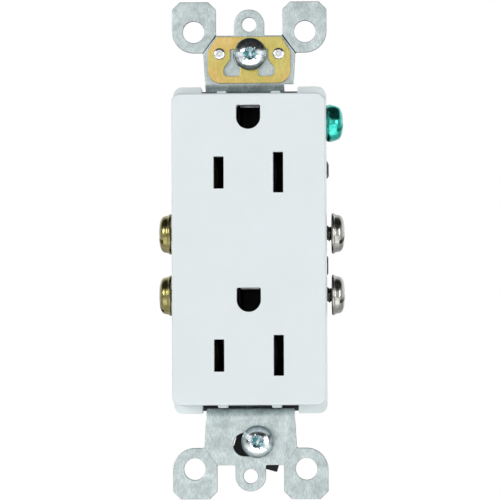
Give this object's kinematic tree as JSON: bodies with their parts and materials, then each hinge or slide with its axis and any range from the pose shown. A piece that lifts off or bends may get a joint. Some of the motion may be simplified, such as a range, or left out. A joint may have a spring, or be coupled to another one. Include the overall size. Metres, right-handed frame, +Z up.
{
  "type": "duplex wall outlet",
  "caption": "Flush duplex wall outlet with a flat rectangular white face, steel mounting strap, black rear body, side wire screws and a ground screw.",
  "frame": {"origin": "centre of the two mounting-screw slots, on the strap's rear face, which is the wall plane", "axes": "+Z up along the strap with the ground holes above their slots, +X to the right as seen from the room, +Y into the wall"},
  "size_m": [0.04, 0.0296, 0.1066],
  "materials": {
    "white_plastic": "moulded white, satin gloss",
    "black_plastic": "moulded black, fine texture",
    "zinc_steel": "zinc-plated sheet steel, dull grey with light scratches",
    "bright_steel": "bright zinc-plated or stainless steel",
    "brass": "plain stamped or turned brass",
    "nickel": "nickel-plated brass, silver coloured",
    "green_screw": "green-dyed zinc-plated steel",
    "black_fibre": "black vulcanised fibre sheet"
  },
  "bodies": {
    "frame": {"front_cover": "white_plastic", "back_body": "black_plastic", "mounting_strap": "zinc_steel", "self_grounding_clip": "brass", "clip_rivet_left": "bright_steel", "clip_rivet_right": "bright_steel", "hot_contact_strip": "brass", "neutral_contact_strip": "nickel", "ground_contact_upper": "brass", "ground_contact_lower": "brass", "ground_rivet_upper": "bright_steel", "ground_rivet_lower": "bright_steel", "assembly_screw_upper": "bright_steel", "assembly_screw_lower": "bright_steel", "push_in_clip_hot_upper": "bright_steel", "push_in_clip_hot_lower": "bright_steel", "push_in_clip_neutral_upper": "bright_steel", "push_in_clip_neutral_lower": "bright_steel"},
    "top_mounting_screw": {"mounting_screw_top": "bright_steel"},
    "bottom_retainer": {"screw_retainer_bottom": "black_fibre"},
    "bottom_mounting_screw": {"mounting_screw_bottom": "bright_steel"},
    "hot_screw_upper": {"hot_terminal_screw_upper": "brass"},
    "hot_screw_lower": {"hot_terminal_screw_lower": "brass"},
    "neutral_screw_upper": {"neutral_terminal_screw_upper": "nickel"},
    "neutral_screw_lower": {"neutral_terminal_screw_lower": "nickel"},
    "ground_screw": {"ground_terminal_screw": "green_screw"}
  },
  "joints": [
    {"name": "top_mounting_screw_spin", "type": "hinge", "parent": "frame", "child": "top_mounting_screw", "pos_m": [0.00028, -0.0024, 0.04195], "axis": [0, 1, 0], "continuous": true},
    {"name": "bottom_retainer_float", "type": "slide", "parent": "frame", "child": "bottom_retainer", "axis": [0, 1, 0], "range_m": [-0.0021, 0.0008]},
    {"name": "bottom_mounting_screw_spin", "type": "hinge", "parent": "bottom_retainer", "child": "bottom_mounting_screw", "pos_m": [0.00155, -0.0021, -0.04105], "axis": [0, 1, 0], "continuous": true},
    {"name": "hot_screw_upper_drive", "type": "slide", "parent": "frame", "child": "hot_screw_upper", "axis": [1, 0, 0], "range_m": [0, 0.0026]},
    {"name": "hot_screw_lower_drive", "type": "slide", "parent": "frame", "child": "hot_screw_lower", "axis": [1, 0, 0], "range_m": [0, 0.0026]},
    {"name": "neutral_screw_upper_drive", "type": "slide", "parent": "frame", "child": "neutral_screw_upper", "axis": [-1, 0, 0], "range_m": [0, 0.0026]},
    {"name": "neutral_screw_lower_drive", "type": "slide", "parent": "frame", "child": "neutral_screw_lower", "axis": [-1, 0, 0], "range_m": [0, 0.0026]},
    {"name": "ground_screw_back_out", "type": "slide", "parent": "frame", "child": "ground_screw", "axis": [1, 0, 0], "range_m": [0, 0.003]}
  ]
}
